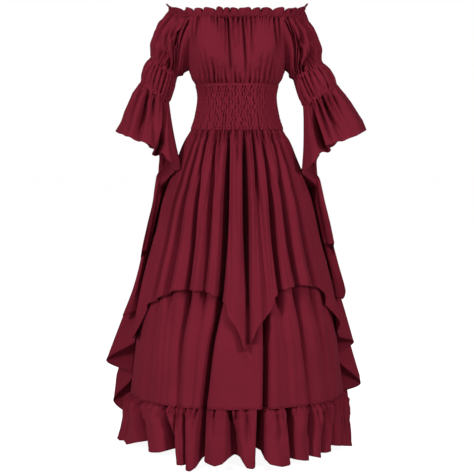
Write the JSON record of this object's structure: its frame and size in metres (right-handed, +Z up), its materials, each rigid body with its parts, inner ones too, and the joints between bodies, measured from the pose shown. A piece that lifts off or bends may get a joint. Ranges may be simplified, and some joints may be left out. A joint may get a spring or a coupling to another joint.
{
  "type": "medieval gown",
  "caption": "Full-length off-shoulder gown, hollow and worn: shirred waist, puffed sleeves with bell flounces and hanging corners, pointed overskirt over a ruffled underskirt.",
  "frame": {"origin": "middle of the waist, in the ring of its narrowest line, where the wearer carries the gown", "axes": "+Z up, the front faces -Y, +X to the wearer's left"},
  "size_m": [0.787, 0.6587, 1.3377],
  "materials": {
    "cloth": "matte woven, burgundy"
  },
  "bodies": {
    "root": {"neck_casing": "cloth", "bodice_front": "cloth", "bodice_back": "cloth", "waist_front": "cloth", "waist_back": "cloth", "sleeve_left": "cloth", "sleeve_right": "cloth", "flounce_left": "cloth", "flounce_right": "cloth", "train_left": "cloth", "train_right": "cloth", "overskirt_front": "cloth", "overskirt_back": "cloth", "overskirt_side_left": "cloth", "overskirt_side_right": "cloth", "underskirt_front": "cloth", "underskirt_back": "cloth", "hem_ruffle_front": "cloth", "hem_ruffle_back": "cloth"}
  },
  "joints": []
}
